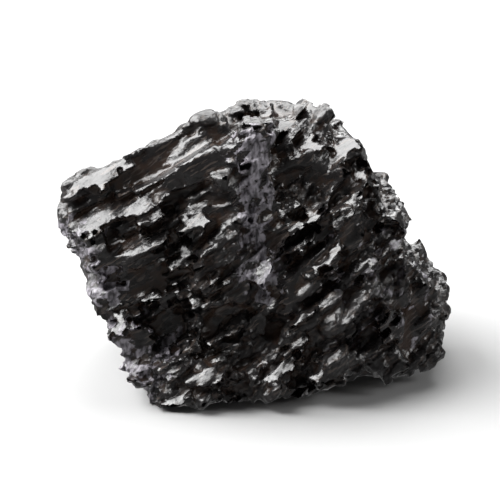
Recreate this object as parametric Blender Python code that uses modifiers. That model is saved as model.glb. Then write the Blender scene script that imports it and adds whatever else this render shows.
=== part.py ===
"""Shilajit lump: one broken lump of hardened, pitch-black mountain resin, in metres, +Z up.

The resin set in beds, and the lump broke along them. It is built the way it formed: two
leaning stacks of beds meet along an upright seam, splinters and crumbs cling to the broken
faces, scoops are struck out of them, and the whole is fused into one closed solid.
The lump lies on its flat cleaved underside, whose plane is Z = 0.
"""

import math
import random

import bmesh
import bpy
from mathutils import Matrix, Vector, noise
from mathutils.bvhtree import BVHTree

MM = 0.001

# Driving dimensions of the lump, in millimetres.
LUMP_WIDTH = 52.0
MIDDLE = Vector((0.0, 0.0, 17.0))
BLANK_SIZE = 90.0
FUSING_GRAIN = 0.42
TRIANGLES = 9900
SEED = 11

# The resin: linear colour and roughness of a broken face.
RESIN_COLOUR = (0.0040, 0.0036, 0.0034, 1.0)
RESIN_ROUGHNESS = 0.24

# Broken outer faces: (outward normal, a point on the face in mm).
LEFT_FACES = {
    "front": ((-0.08, -0.97, 0.22), (-10, -14, 10)),
    "crest": ((-0.45, 0.36, 0.82), (-10, -6, 32.2)),
    "crest_edge": ((-0.30, -0.55, 0.78), (-10, -8.4, 32.9)),
    "crest_end": ((0.25, 0.10, 0.96), (-1.5, -4, 34.6)),
    "end": ((-0.93, -0.30, -0.20), (-24.8, -6, 21)),
    "end_front": ((-0.72, -0.69, -0.05), (-22.8, -11.5, 20)),
    "end_back": ((-0.84, 0.52, 0.10), (-22, 4, 17)),
    "undercut": ((-0.88, -0.12, -0.46), (-19.4, -8, 13)),
    "back": ((-0.20, 0.94, 0.27), (-8, 15, 13)),
    "foot_back": ((-0.20, 0.72, -0.66), (-6, 13, 3)),
    "foot_front": ((-0.10, -0.80, -0.59), (-6, -14.5, 1)),
    "foot_end": ((-0.22, 0.12, -0.97), (-12, 3, 0)),
    "seam": ((1.0, 0.05, 0.0), (3, 0, 17)),
}
RIGHT_FACES = {
    "front": ((0.14, -0.95, 0.26), (8, -14.5, 12)),
    "crown": ((0.0, -0.33, 0.94), (5, -1, 32.6)),
    "crown_back": ((0.06, 0.62, 0.78), (5, 6, 32.2)),
    "shoulder": ((0.84, 0.08, 0.54), (14, 2, 31.2)),
    "side": ((0.87, -0.05, 0.48), (22.5, 0, 17.5)),
    "flank": ((0.99, -0.1, 0.0), (26.5, 0, 8)),
    "side_front": ((0.66, -0.72, 0.22), (17.5, -13, 13)),
    "side_back": ((0.66, 0.72, 0.20), (17, 12, 12)),
    "back": ((0.05, 0.96, 0.27), (6, 17, 13)),
    "foot_side": ((0.84, -0.10, -0.53), (25.5, -2, 3)),
    "foot_back": ((0.10, 0.72, -0.68), (5, 15, 3)),
    "foot_front": ((0.10, -0.80, -0.59), (6, -15.5, 1)),
    "foot_toe": ((0.16, -0.14, -0.97), (15, -5, 0)),
    "seam": ((-0.97, 0.05, 0.24), (-1.2, 0, 33)),
}
UNDERSIDE = (0.0, 0.0, -1.0)

# Beds from the top down: (thickness, how far forward and how far up its own slope the bed
# has slipped, all in mm, and how far it has turned in its own plane, in degrees).
LEFT_BED_NORMAL = (-0.46, -0.04, 0.89)
LEFT_TOP = 19.5
LEFT_BEDS = (
    (4.2, -1.0, -0.4, 4.0),
    (2.4, 1.4, 1.2, 0.5),
    (2.0, -0.9, 0.6, 2.5),
    (3.2, 1.0, 0.4, -2.0),
    (1.8, -1.2, 0.7, 3.0),
    (3.4, 0.6, -0.3, -1.0),
    (2.4, -1.0, 0.5, 1.0),
    (4.2, 0.4, 0.2, -3.0),
    (3.0, -0.8, 0.8, 2.0),
    (6.0, 0.8, 0.0, 0.0),
    (9.0, 0.0, 0.0, 0.0),
)
RIGHT_BED_NORMAL = (-0.66, -0.10, 0.74)
RIGHT_TOP = 17.5
RIGHT_BEDS = (
    (5.0, -0.8, 0.0, 2.0),
    (2.6, 1.0, 0.5, -2.0),
    (3.4, -0.9, -0.6, 3.0),
    (2.0, 0.5, 0.6, -1.0),
    (2.8, -0.7, -0.4, 1.0),
    (1.6, 0.9, 0.7, -2.0),
    (3.6, -0.4, -0.5, 2.0),
    (2.2, 0.8, 0.4, 0.0),
    (3.0, -0.8, -0.7, -3.0),
    (4.0, 0.5, 0.3, 2.0),
    (5.0, -0.3, -0.2, 0.0),
    (6.0, 0.6, 0.0, 0.0),
    (9.0, 0.0, 0.0, 0.0),
)
BED_OVERLAP = 0.35
BED_CHIPS = 7
BED_CHIP_DEPTH = 2.0

# Shards are small plates: how many chips they lose, and their depth over the shard's thickness.
SHARD_CHIPS = 6
SHARD_CHIP_DEPTH = 0.5

# Splinters on the right stack's front face: their span across and upwards in mm, the ranges of
# their length, width and thickness in mm, and how far they twist off the beds.
SPLINTER_FIELD = ((2.0, 16.0), (9.0, 24.0))
SPLINTER_SIZES = ((7.0, 14.0), (2.0, 3.4), (0.8, 1.5))
SPLINTER_TWIST = math.radians(7)
SPLINTERS = 10
FRONT = (0.05, -0.96, 0.26)

# Plates of the lower lip: (middle in mm, size in mm, tilt to the right in degrees).
LIP_PLATES = (
    ((-11.5, -14.8, 5.2), (8.0, 5.0, 1.5), -7.0),
    ((-5.5, -16.3, 4.2), (11.0, 5.5, 1.3), 8.0),
    ((2.5, -16.8, 2.6), (10.0, 5.0, 1.4), 4.0),
    ((9.0, -15.6, 4.6), (8.0, 5.0, 1.5), -10.0),
)

# Crumbs: (middle of the patch in mm, reach of the patch in mm, how many, mean size in mm). Their
# shape is the ranges of length, width and thickness over that size; they lean off the beds, and
# sink into the face by a share of their length.
CRUMB_PATCHES = (
    ((-1.0, -15.0, 23.5), (1.6, 4.0, 6.0), 12, 3.0),
    ((20.0, -12.0, 14.0), (6.0, 5.0, 11.0), 34, 3.6),
    ((-10.0, -14.0, 4.0), (4.0, 3.0, 2.0), 8, 3.2),
    ((10.0, -14.0, 24.5), (7.0, 3.0, 1.6), 8, 2.6),
    ((3.0, -17.0, 3.0), (15.0, 3.0, 1.6), 13, 3.4),
    ((-10.0, 17.0, 18.0), (12.0, 6.0, 12.0), 16, 4.6),
    ((12.0, 17.0, 16.0), (10.0, 6.0, 14.0), 20, 4.2),
    ((-24.0, 4.0, 19.0), (4.0, 8.0, 6.0), 8, 2.6),
)
CRUMB_SHAPE = ((0.8, 1.9), (0.7, 1.3), (0.3, 0.75))
CRUMB_LEAN = math.radians(16)
CRUMB_SINK = 0.16

# Broad flat chips in the fused surface: mean width in mm, depth over width, and how much of
# that depth is a plain step rather than a tilt.
CHIP_SIZE = 8.0
CHIP_STRENGTH = 0.10
CHIP_STEP = 0.35

# Scoops struck out of the faces: (centre, radii, depth) in mm.
SCOOPS = (
    ((-5.0, -17.0, 9.8), (11.0, 8.0, 3.6), 2.6),
    ((9.0, -14.0, 28.0), (7.0, 6.0, 3.2), 2.0),
    ((-8.0, 18.0, 16.0), (9.0, 7.0, 5.0), 2.6),
    ((22.0, 6.0, 12.0), (6.0, 9.0, 4.0), 1.3),
)


def unit(direction):
    return Vector(direction).normalized()


def cut_away(bm, point, normal):
    """Splits the closed mesh at a plane, drops the side the normal points to and caps the cut."""
    geometry = bm.verts[:] + bm.edges[:] + bm.faces[:]
    bmesh.ops.bisect_plane(
        bm, geom=geometry, plane_co=point, plane_no=normal, clear_outer=True, dist=1e-6
    )
    rim = [edge for edge in bm.edges if edge.is_boundary]
    if rim:
        bmesh.ops.holes_fill(bm, edges=rim)


def pour_into(stock, piece):
    """Appends a loose closed piece to the stock mesh."""
    mesh = bpy.data.meshes.new("piece")
    piece.to_mesh(mesh)
    piece.free()
    stock.from_mesh(mesh)
    bpy.data.meshes.remove(mesh)


def blank(faces):
    """A block cut to the given outer faces, in mm."""
    bm = bmesh.new()
    bmesh.ops.create_cube(bm, size=BLANK_SIZE, matrix=Matrix.Translation(MIDDLE))
    for normal, point in faces.values():
        cut_away(bm, Vector(point), unit(normal))
    return bm


def knock_corners(bm, rng, count, depth):
    """Strikes small flat chips off the corners of a convex piece."""
    for _ in range(count):
        corners = [vert.co.copy() for vert in bm.verts]
        centre = sum(corners, Vector()) / len(corners)
        corner = rng.choice(corners)
        outward = (corner - centre).normalized()
        lean = Vector([rng.uniform(-0.5, 0.5) for _ in range(3)])
        normal = (outward + lean).normalized()
        reach = max((co - centre).dot(normal) for co in corners)
        cut_away(bm, centre + normal * (reach - rng.uniform(0.3, 1.0) * depth), normal)


def add_beds(stock, faces, normal, top, beds, rng):
    """Adds a stack of beds: slices of one block, each slipped and turned in its own plane."""
    normal = unit(normal)
    forward = Vector((0, -1, 0))
    forward = (forward - normal * forward.dot(normal)).normalized()
    upslope = normal.cross(forward)
    high = top
    for thickness, push, slip, turn in beds:
        bed = blank(faces)
        cut_away(bed, MIDDLE + normal * (high + BED_OVERLAP), normal)
        high -= thickness
        cut_away(bed, MIDDLE + normal * (high - BED_OVERLAP), -normal)
        knock_corners(bed, rng, BED_CHIPS, BED_CHIP_DEPTH)
        moved = Matrix.Translation(MIDDLE + forward * push + upslope * slip)
        turned = Matrix.Rotation(math.radians(turn), 4, normal) @ Matrix.Translation(-MIDDLE)
        bmesh.ops.transform(bed, matrix=moved @ turned, verts=bed.verts)
        pour_into(stock, bed)


def shard(rng, size):
    """A small plate with uneven sides and knocked corners."""
    bm = bmesh.new()
    bmesh.ops.create_cube(bm, size=1.0)
    bmesh.ops.scale(bm, vec=size, verts=bm.verts)
    knock_corners(bm, rng, SHARD_CHIPS, SHARD_CHIP_DEPTH * min(size))
    return bm


def bed_frame(normal):
    """Turns X to the line where the beds meet the front face, and Z to their upward normal."""
    normal = unit(normal)
    along = Vector(FRONT).cross(normal).normalized() * -1
    return Matrix((along, normal.cross(along), normal)).transposed().to_4x4()


def add_splinters(stock, rng):
    """Adds long thin shards that lie on the front face along the beds of the right stack."""
    tree = BVHTree.FromBMesh(stock)
    frame = bed_frame(RIGHT_BED_NORMAL)
    across, up = SPLINTER_FIELD
    for _ in range(SPLINTERS):
        piece = shard(rng, [rng.uniform(low, high) for low, high in SPLINTER_SIZES])
        outside = Vector((rng.uniform(*across), -BLANK_SIZE, rng.uniform(*up)))
        spot = tree.ray_cast(outside, Vector((0, 1, 0)))[0]
        twist = Matrix.Rotation(SPLINTER_TWIST * rng.uniform(-1, 1), 4, "Y")
        place = Matrix.Translation(spot) @ frame @ twist
        bmesh.ops.transform(piece, matrix=place, verts=piece.verts)
        pour_into(stock, piece)


def add_lip(stock, rng):
    """Adds the broad thin plates that jut from the foot of the front face."""
    for spot, size, tilt in LIP_PLATES:
        piece = shard(rng, size)
        place = Matrix.Translation(Vector(spot)) @ Matrix.Rotation(math.radians(tilt), 4, "Y")
        bmesh.ops.transform(piece, matrix=place, verts=piece.verts)
        pour_into(stock, piece)


def add_crumbs(stock, rng):
    """Adds patches of plates that lean near the beds, half sunk in the broken faces."""
    tree = BVHTree.FromBMesh(stock)
    frames = (bed_frame(LEFT_BED_NORMAL), bed_frame(RIGHT_BED_NORMAL))
    for middle, reach, count, mean_size in CRUMB_PATCHES:
        for _ in range(count):
            start = Vector([m + r * rng.uniform(-1, 1) for m, r in zip(middle, reach)])
            outside = MIDDLE + (start - MIDDLE).normalized() * BLANK_SIZE
            size = [mean_size * rng.uniform(low, high) for low, high in CRUMB_SHAPE]
            lean = Matrix.Rotation(rng.gauss(0, CRUMB_LEAN), 4, "X")
            lean = lean @ Matrix.Rotation(rng.gauss(0, CRUMB_LEAN), 4, "Y")
            turn = Matrix.Rotation(rng.uniform(0, math.tau), 4, "Z")
            piece = shard(rng, size)
            spot, normal = tree.ray_cast(outside, MIDDLE - outside)[:2]
            spot -= normal * CRUMB_SINK * max(size)
            frame = frames[0] if spot.x < 0 else frames[1]
            place = Matrix.Translation(spot) @ frame @ lean @ turn
            bmesh.ops.transform(piece, matrix=place, verts=piece.verts)
            pour_into(stock, piece)


def chip_height(point, size, strength):
    """Flat chips: each cell of a random mosaic is one tilted plane. In mm."""
    place = point / size
    centre = noise.voronoi(place)[1][0]
    lean = noise.cell_vector(centre * 37.0) * 2 - Vector((1, 1, 1))
    return (CHIP_STEP * lean.z + (place - centre).dot(lean)) * size * strength


def scoop_depth(point):
    """How far the scoops reach into the lump at this point, in mm."""
    depth = 0.0
    for centre, radii, most in SCOOPS:
        away = Vector([(p - c) / r for p, c, r in zip(point, centre, radii)]).length
        if away < 1:
            depth = max(depth, most * math.sqrt(1 - away * away))
    return depth


def weather(mesh):
    """Moves the fused surface in and out, in mm: broad flat chips, and scoops."""
    moves = []
    for vert in mesh.vertices:
        height = chip_height(vert.co, CHIP_SIZE, CHIP_STRENGTH)
        moves.append(vert.normal * (height - scoop_depth(vert.co)))
    for vert, move in zip(mesh.vertices, moves):
        vert.co += move


def evaluated_mesh(obj):
    graph = bpy.context.evaluated_depsgraph_get()
    mesh = bpy.data.meshes.new_from_object(obj.evaluated_get(graph))
    obj.modifiers.clear()
    return mesh


def fuse(obj, grain):
    """Melts everything that touches into one closed skin."""
    remesh = obj.modifiers.new("Fuse", "REMESH")
    remesh.mode = "VOXEL"
    remesh.voxel_size = grain
    obj.data = evaluated_mesh(obj)


def thin(obj, triangles):
    """Brings the skin down to flat facets."""
    obj.data.calc_loop_triangles()
    decimate = obj.modifiers.new("Thin", "DECIMATE")
    decimate.ratio = triangles / len(obj.data.loop_triangles)
    obj.data = evaluated_mesh(obj)


def sweep_loose_bits(bm):
    """Drops every scrap that isn't joined to the body."""
    left = set(bm.verts)
    bodies = []
    while left:
        ring = [left.pop()]
        body = []
        while ring:
            vert = ring.pop()
            body.append(vert)
            near = [edge.other_vert(vert) for edge in vert.link_edges]
            fresh = [other for other in near if other in left]
            left.difference_update(fresh)
            ring.extend(fresh)
        bodies.append(body)
    bodies.sort(key=len)
    scraps = [vert for body in bodies[:-1] for vert in body]
    bmesh.ops.delete(bm, geom=scraps, context="VERTS")


def settle(bm):
    """Cleaves the underside flat, then scales the lump to its width in metres and centres it."""
    cut_away(bm, Vector((0, 0, 0)), Vector(UNDERSIDE))
    low = [min(vert.co[axis] for vert in bm.verts) for axis in range(3)]
    high = [max(vert.co[axis] for vert in bm.verts) for axis in range(3)]
    size = LUMP_WIDTH * MM / (high[0] - low[0])
    shift = Vector((-(low[0] + high[0]) / 2, -(low[1] + high[1]) / 2, 0))
    placed = Matrix.Scale(size, 4) @ Matrix.Translation(shift)
    bmesh.ops.transform(bm, matrix=placed, verts=bm.verts)


def pitch_black_resin():
    """Hardened humic resin: near black, glossy where it broke."""
    material = bpy.data.materials.new("Shilajit resin")
    material.use_nodes = True
    shader = material.node_tree.nodes["Principled BSDF"]
    shader.inputs["Base Color"].default_value = RESIN_COLOUR
    shader.inputs["Roughness"].default_value = RESIN_ROUGHNESS
    shader.inputs["Metallic"].default_value = 0.0
    return material


def main():
    for old in list(bpy.data.objects):
        bpy.data.objects.remove(old)
    rng = random.Random(SEED)
    stock = bmesh.new()
    add_beds(stock, LEFT_FACES, LEFT_BED_NORMAL, LEFT_TOP, LEFT_BEDS, rng)
    add_beds(stock, RIGHT_FACES, RIGHT_BED_NORMAL, RIGHT_TOP, RIGHT_BEDS, rng)
    add_splinters(stock, rng)
    add_lip(stock, rng)
    add_crumbs(stock, rng)
    mesh = bpy.data.meshes.new("shilajit_lump")
    stock.to_mesh(mesh)
    stock.free()

    lump = bpy.data.objects.new("shilajit_lump", mesh)
    home = bpy.data.collections.new("shilajit_lump")
    bpy.context.scene.collection.children.link(home)
    home.objects.link(lump)
    fuse(lump, FUSING_GRAIN)
    weather(lump.data)
    fuse(lump, FUSING_GRAIN)
    thin(lump, TRIANGLES)

    body = bmesh.new()
    body.from_mesh(lump.data)
    sweep_loose_bits(body)
    settle(body)
    body.to_mesh(lump.data)
    body.free()
    lump.data.name = "shilajit_lump"
    lump.data.materials.clear()
    lump.data.materials.append(pitch_black_resin())


main()
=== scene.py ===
# %% [markdown]
# # A lump of shilajit
#
# Shilajit is a resin that seeps out of mountain rock and hardens in beds. When a lump of it
# breaks, the beds part like slate, the edges crumble, and the fresh faces shine like wet
# pitch. We start from the plain solid of the lump, add the plates, chips and crumbs that
# cling to it, fuse everything into one skin, and carve the fine relief into that skin.

# %% Load the lump's solid
import math
import random

import bmesh
import bpy
import numpy as np
from mathutils import Matrix, Vector
from mathutils.bvhtree import BVHTree
from mathutils.kdtree import KDTree


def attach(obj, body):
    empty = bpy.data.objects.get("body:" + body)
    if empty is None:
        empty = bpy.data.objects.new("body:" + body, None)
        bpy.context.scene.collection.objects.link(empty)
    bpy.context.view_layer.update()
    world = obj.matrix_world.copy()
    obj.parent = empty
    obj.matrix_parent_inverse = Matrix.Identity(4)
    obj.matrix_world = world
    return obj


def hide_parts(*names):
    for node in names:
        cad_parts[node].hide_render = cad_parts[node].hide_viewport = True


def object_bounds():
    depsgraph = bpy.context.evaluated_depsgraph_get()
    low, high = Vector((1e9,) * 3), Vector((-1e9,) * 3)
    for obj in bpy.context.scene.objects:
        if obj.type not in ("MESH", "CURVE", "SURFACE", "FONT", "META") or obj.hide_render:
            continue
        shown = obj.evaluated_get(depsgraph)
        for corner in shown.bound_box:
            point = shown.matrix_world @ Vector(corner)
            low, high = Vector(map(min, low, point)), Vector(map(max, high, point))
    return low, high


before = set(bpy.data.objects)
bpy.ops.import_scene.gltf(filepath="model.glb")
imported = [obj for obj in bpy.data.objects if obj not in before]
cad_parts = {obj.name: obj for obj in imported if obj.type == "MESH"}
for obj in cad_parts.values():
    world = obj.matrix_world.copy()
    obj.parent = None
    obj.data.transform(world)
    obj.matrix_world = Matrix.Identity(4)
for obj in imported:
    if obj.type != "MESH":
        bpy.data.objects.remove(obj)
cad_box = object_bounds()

MM = 0.001
CAD_LOW = np.array(cad_box[0]) / MM
CAD_HIGH = np.array(cad_box[1]) / MM
lump_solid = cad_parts["shilajit_lump"]
print("lump, mm:", np.round(CAD_HIGH - CAD_LOW, 1))

# %% [markdown]
# ## The camera
#
# The lump fills most of the frame and is seen from a little above its front. A long lens,
# as for a product picture, keeps the beds parallel.

# %% Camera
VIEW_WIDTH = 67.5
VIEW_ELEVATION = math.radians(20)
LENS = 300.0
SENSOR = 36.0
LOOK_AT = Vector((-0.66, 0.0, 14.8)) * MM
NEAREST = 0.01

camera = bpy.data.objects.new("camera", bpy.data.cameras.new("camera"))
bpy.context.scene.collection.objects.link(camera)
bpy.context.scene.camera = camera
camera.data.lens = LENS
camera.data.sensor_width = SENSOR
back = Vector((0, -math.cos(VIEW_ELEVATION), math.sin(VIEW_ELEVATION)))
camera.location = LOOK_AT + back * (VIEW_WIDTH * MM * LENS / SENSOR)
camera.rotation_euler = (-back).to_track_quat("-Z", "Y").to_euler()
camera.data.clip_start = NEAREST
print("camera distance, m:", round((camera.location - LOOK_AT).length, 3))

# %% [markdown]
# ## A copy to work on
#
# The solid itself is never changed. Its triangles come loose, each with corners of its own,
# so the copy's doubles are merged first. From here on we count in millimetres, which keeps
# the numbers readable, and scale back to metres at the end.

# %% The copy
WELD = 0.001 * MM

stock = bmesh.new()
stock.from_mesh(lump_solid.data)
bmesh.ops.remove_doubles(stock, verts=stock.verts, dist=WELD)
bmesh.ops.scale(stock, vec=(1 / MM,) * 3, verts=stock.verts)
bare = BVHTree.FromBMesh(stock)
skin = [(face.calc_center_median(), face.normal.copy(), face.calc_area()) for face in stock.faces]
skin_corners = [[vert.co.copy() for vert in face.verts] for face in stock.faces]
print("skin, mm2:", round(sum(area for _, _, area in skin)))

# %% [markdown]
# ## The beds
#
# Two stacks of beds meet at an upright seam. Everything that clings to the lump lies near
# the bed under it, so one small function gives the directions at any point: along the line
# where the bed comes out of the face, up the bed's normal, and out of the face.

# %% Directions at a point
LEFT_BED = Vector((-0.46, -0.04, 0.89)).normalized()
RIGHT_BED = Vector((-0.66, -0.10, 0.74)).normalized()
SEAM_X = -0.7
ALMOST_PARALLEL = 0.2


def bed_at(point):
    """The normal of the beds on this side of the seam."""
    return LEFT_BED if point.x < SEAM_X else RIGHT_BED


def directions(point, outward):
    """A turned frame: X along the outcrop of the bed, Z up the bed's normal."""
    up = bed_at(point)
    along = outward.cross(up)
    if along.length < ALMOST_PARALLEL:
        along = Vector((0, -1, 0)).cross(up)
    along.normalize()
    return Matrix((along, up.cross(along), up)).transposed().to_4x4()


DIPS = [round(math.degrees(bed.angle((0, 0, 1)))) for bed in (LEFT_BED, RIGHT_BED)]
print("beds dip, degrees:", DIPS)

# %% [markdown]
# ## Places on the front
#
# The broken front is what people see first, so its features are placed one by one, each by
# where it shows in the view. A ray along the line of sight finds the point of the skin, and
# a long patch is then measured along the bed that comes out there, and across it.

# %% Places on the front
VIEW_UP = Vector((0, math.sin(VIEW_ELEVATION), math.cos(VIEW_ELEVATION)))
FRONT = Vector((0.05, -0.96, 0.26)).normalized()
WELL_OUTSIDE = 200.0
PATCH_DEPTH = 8.0
RIM_FADE = 4.0


def seen_at(across, up):
    """The point of the skin that shows this far from the view's middle, or the nearest one."""
    place = LOOK_AT / MM + Vector((across, 0, 0)) + VIEW_UP * up
    return bare.ray_cast(place + back * WELL_OUTSIDE, -back)[0] or bare.find_nearest(place)[0]


def front_patch(points, middle, size):
    """1 inside a patch `size` mm along and across its bed, fading to 0 at its rim."""
    along = FRONT.cross(bed_at(middle)).normalized()
    rise = along.cross(FRONT)
    offset = points - np.array(middle)
    inside = 1.0 - np.abs(offset @ np.array(along)) / (size[0] / 2)
    inside = np.minimum(inside, 1.0 - np.abs(offset @ np.array(rise)) / (size[1] / 2))
    inside = np.minimum(inside, 1.0 - np.abs(offset @ np.array(FRONT)) / PATCH_DEPTH)
    return np.clip(inside * RIM_FADE, 0.0, 1.0)


print("middle of the front, mm:", [round(c, 1) for c in seen_at(0.0, 0.0)])

# %% Clean breaks
SMOOTH_PATCHES = (
    # across and up in the view, length along the bed and height, in mm
    ((-15.0, 10.0), (17.0, 5.0)),
    ((-6.0, 12.6), (8.0, 5.5)),
    ((-12.6, -3.6), (11.0, 5.0)),
    ((-5.0, 3.4), (5.0, 3.0)),
    ((4.8, 10.4), (4.0, 4.0)),
    ((11.6, 9.6), (7.5, 4.0)),
    ((14.8, 2.6), (9.0, 4.6)),
    ((9.0, 0.0), (10.0, 3.0)),
    ((20.8, -9.6), (8.0, 8.0)),
    ((3.0, -6.5), (10.0, 4.0)),
    ((-7.0, -8.0), (10.0, 4.0)),
    ((-19.4, 4.4), (8.0, 4.0)),
    ((3.4, 17.6), (9.0, 5.0)),
    ((9.6, 13.6), (11.0, 5.0)),
)


def smoothness(points):
    """Where the resin broke clean."""
    clean = [front_patch(points, seen_at(*spot), size) for spot, size in SMOOTH_PATCHES]
    return np.maximum.reduce(clean)


print("clean patches on the front:", len(SMOOTH_PATCHES))

# %% [markdown]
# ## Plates, chips, splinters and crumbs
#
# A broken piece of resin is a flat-sided scrap with knocked corners. We cut a small tray of
# them from a cube with planes, and then use each many times, stretched and turned. Cutting
# thousands afresh would look no different and take far longer.

# %% A tray of scraps
SCRAP_KINDS = 14
SCRAP_CUTS = 9
CUT_REACH = (0.6, 0.9)
rng = random.Random(4)


def cut_scrap():
    """A cube with most of its corners and edges cut away, as a mesh."""
    scrap = bmesh.new()
    bmesh.ops.create_cube(scrap, size=1.0)
    for _ in range(SCRAP_CUTS):
        aim = Vector([rng.gauss(0, 1) for _ in range(3)]).normalized()
        reach = max(vert.co.dot(aim) for vert in scrap.verts)
        everything = scrap.verts[:] + scrap.edges[:] + scrap.faces[:]
        cut = aim * reach * rng.uniform(*CUT_REACH)
        bmesh.ops.bisect_plane(
            scrap, geom=everything, plane_co=cut, plane_no=aim, clear_outer=True
        )
        rim = [edge for edge in scrap.edges if edge.is_boundary]
        bmesh.ops.holes_fill(scrap, edges=rim)
    mesh = bpy.data.meshes.new("scrap")
    scrap.to_mesh(mesh)
    scrap.free()
    return mesh


scraps = [cut_scrap() for _ in range(SCRAP_KINDS)]
print("faces in a scrap:", [len(scrap.polygons) for scrap in scraps])

# %% [markdown]
# ## Setting the scraps
#
# Chips lie on a break by chance, so spots are drawn at random over the skin, by area. Each
# scrap is laid along the bed under it and sunk until only a little stands out. It is left off
# where a corner would hang in the air past an edge of the lump.

# %% Spots on the skin
areas = np.array([area for _, _, area in skin])
ladder = np.cumsum(areas) / areas.sum()


def spot_on_skin():
    """A point picked evenly over the skin, with the direction out of it there."""
    pick = min(int(np.searchsorted(ladder, rng.random())), len(skin) - 1)
    a, b, c = skin_corners[pick][:3]
    u, v = rng.random(), rng.random()
    if u + v > 1:
        u, v = 1 - u, 1 - v
    return a + (b - a) * u + (c - a) * v, skin[pick][1]


print("triangles to pick from:", len(skin))

# %% Setting one scrap
MOST_OVERHANG = 0.5


def overhang(mesh):
    """How far the furthest corner of a scrap stands off the lump's own skin, in mm."""
    furthest = 0.0
    for vert in mesh.vertices:
        nearest, normal, _, _ = bare.find_nearest(vert.co)
        furthest = max(furthest, (vert.co - nearest).dot(normal))
    return furthest


def place_scrap(point, outward, size, lean, proud, most_overhang=MOST_OVERHANG):
    """Sinks one scrap in the skin until only `proud` mm stands out. It leans by about `lean`."""
    mesh = rng.choice(scraps).copy()
    turn = directions(point, outward)
    for axis in "XYZ":
        turn = turn @ Matrix.Rotation(rng.gauss(0, lean), 4, axis)
    mesh.transform(turn @ Matrix.Diagonal((*size, 1.0)))
    reach = max(vert.co.dot(outward) for vert in mesh.vertices)
    mesh.transform(Matrix.Translation(point + outward * (proud - reach)))
    fits = overhang(mesh) < proud + most_overhang
    if fits:
        stock.from_mesh(mesh)
    bpy.data.meshes.remove(mesh)
    return fits


# %% [markdown]
# ## Where it is crumbly, splintery or sound
#
# The seam, the right shoulder and the foot broke into crumbs. The face right of the seam
# split into splinters along its beds, and the left block parted in plates. Weights from 0 to
# 1 say how much of each there is at a point, and chance does the rest.

# %% Crumbly places
PATCH_FADE = 3.0
LEAST_CRUMBLY = 0.04


def patch(points, middle, reach):
    """1 in the middle of a box-shaped patch, fading to 0 towards its reach (mm, per axis)."""
    inside = 1.0 - np.abs((points - np.array(middle)) / np.array(reach)).max(axis=1)
    return np.clip(inside * PATCH_FADE, 0.0, 1.0)


def strongest(points, patches, least):
    """At each point the strongest of several patches, and never under `least`."""
    weight = np.full(len(points), least)
    for middle, reach, strength in patches:
        weight = np.maximum(weight, strength * patch(points, middle, reach))
    return weight


CRUMBLY_PATCHES = (
    # middle, reach in mm, strength
    ((0.6, -14.0, 30.0), (3.0, 10.0, 10.0), 1.0),
    ((7.3, -14.0, 25.5), (7.5, 8.0, 3.5), 0.8),
    ((20.0, -8.0, 13.0), (10.0, 16.0, 14.0), 0.9),
    ((8.0, -2.0, 36.0), (10.0, 9.0, 4.0), 0.15),
    ((-4.0, -5.0, 33.5), (6.0, 8.0, 3.0), 0.7),
    ((-25.0, -6.0, 22.0), (4.0, 12.0, 8.0), 0.7),
    ((-17.0, -14.0, 6.0), (9.0, 8.0, 7.0), 0.6),
    ((-1.0, -17.0, 2.0), (18.0, 8.0, 3.5), 0.7),
    ((-9.0, -14.0, 11.0), (7.0, 6.0, 5.0), 0.3),
    ((-1.6, -14.0, 19.0), (3.0, 8.0, 4.0), 0.9),
    ((13.0, 14.0, 14.0), (14.0, 10.0, 16.0), 0.8),
    ((-15.0, 14.0, 12.0), (10.0, 10.0, 9.0), 0.5),
)


def crumbly(points):
    """Where the resin broke into crumbs."""
    return strongest(points, CRUMBLY_PATCHES, LEAST_CRUMBLY) * (1.0 - smoothness(points))


print("crumbly patches:", len(CRUMBLY_PATCHES))


# %% Splintery places
SPLINTERY_PATCHES = (
    # middle, reach in mm, strength
    ((8.5, -12.0, 18.0), (8.5, 8.0, 9.0), 1.0),
    ((-4.0, -14.0, 18.5), (7.5, 8.0, 8.0), 0.9),
    ((-3.0, -14.0, 11.0), (10.0, 8.0, 6.0), 0.6),
    ((6.0, 16.0, 20.0), (16.0, 10.0, 16.0), 0.3),
)


def splintery(points):
    """Where the resin split along its beds."""
    return strongest(points, SPLINTERY_PATCHES, 0.0) * (1.0 - smoothness(points))


middles = np.array([middle for middle, _, _ in skin])
splinter_area = float((splintery(middles) * areas).sum())
print("splintery share of the skin:", round(splinter_area / float(areas.sum()), 2))

# %% Sound places
CREST_HEIGHT = 33.0
CREST_FADE = 4.0
LEFT_BLOCK_END = 1.0
RIGHT_SHARE = 0.5
CRUMBLED_AWAY = 0.7


def bedded(points):
    """Plates cling where the beds are sound, and keep off the crest."""
    sound = np.where(points[:, 0] < LEFT_BLOCK_END, 1.0, RIGHT_SHARE)
    sound *= 1.0 - CRUMBLED_AWAY * crumbly(points)
    below_crest = np.clip((CREST_HEIGHT - points[:, 2]) / CREST_FADE, 0.0, 1.0)
    return sound * below_crest * (1.0 - smoothness(points))


print("sound share of the skin:", round(float((bedded(middles) * areas).sum() / areas.sum()), 2))

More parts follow.
